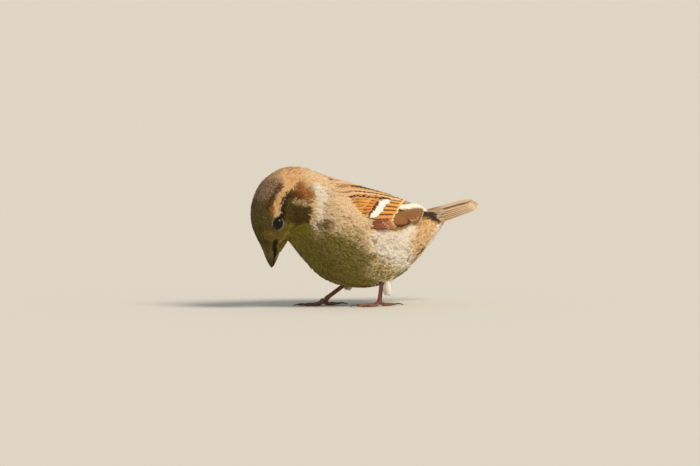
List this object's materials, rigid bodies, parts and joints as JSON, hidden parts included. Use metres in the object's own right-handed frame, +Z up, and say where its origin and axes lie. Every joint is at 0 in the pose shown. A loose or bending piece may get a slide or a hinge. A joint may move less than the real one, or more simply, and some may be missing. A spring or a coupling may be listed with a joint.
{
  "type": "house sparrow model",
  "caption": "Life-size still model of a brown, streaked house sparrow standing on two legs, leaning forward with its bill pointing straight down and its tail a little raised.",
  "frame": {"origin": "middle of the footprint, on the ground", "axes": "the bird faces -X, +Y is its right side, +Z up"},
  "size_m": [0.1302, 0.0456, 0.0737],
  "materials": {
    "coat": "soft body feathers, grey-buff with brown and chestnut markings",
    "wing": "smooth vanes, dark brown centres with chestnut and buff edges",
    "tail": "smooth vanes, grey-brown with pale edges",
    "bill": "horn, satin, brown above and paler below",
    "eye": "wet, very dark brown",
    "leg": "scaled skin, pinkish brown",
    "claw": "horn, dark, satin"
  },
  "bodies": {
    "root": {"head": "coat", "neck": "coat", "trunk": "coat", "thigh_left": "coat", "thigh_right": "coat", "wing_left_coverts": "wing", "wing_left_tertials": "wing", "wing_left_flight": "wing", "wing_right_coverts": "wing", "wing_right_tertials": "wing", "wing_right_flight": "wing", "tail": "tail", "bill_upper": "bill", "bill_lower": "bill", "eye_left": "eye", "eye_right": "eye", "tarsus_left": "leg", "tarsus_right": "leg", "foot_left": "leg", "foot_right": "leg", "claw_left_inner": "claw", "claw_left_middle": "claw", "claw_left_outer": "claw", "claw_left_hind": "claw", "claw_right_inner": "claw", "claw_right_middle": "claw", "claw_right_outer": "claw", "claw_right_hind": "claw"}
  },
  "joints": []
}
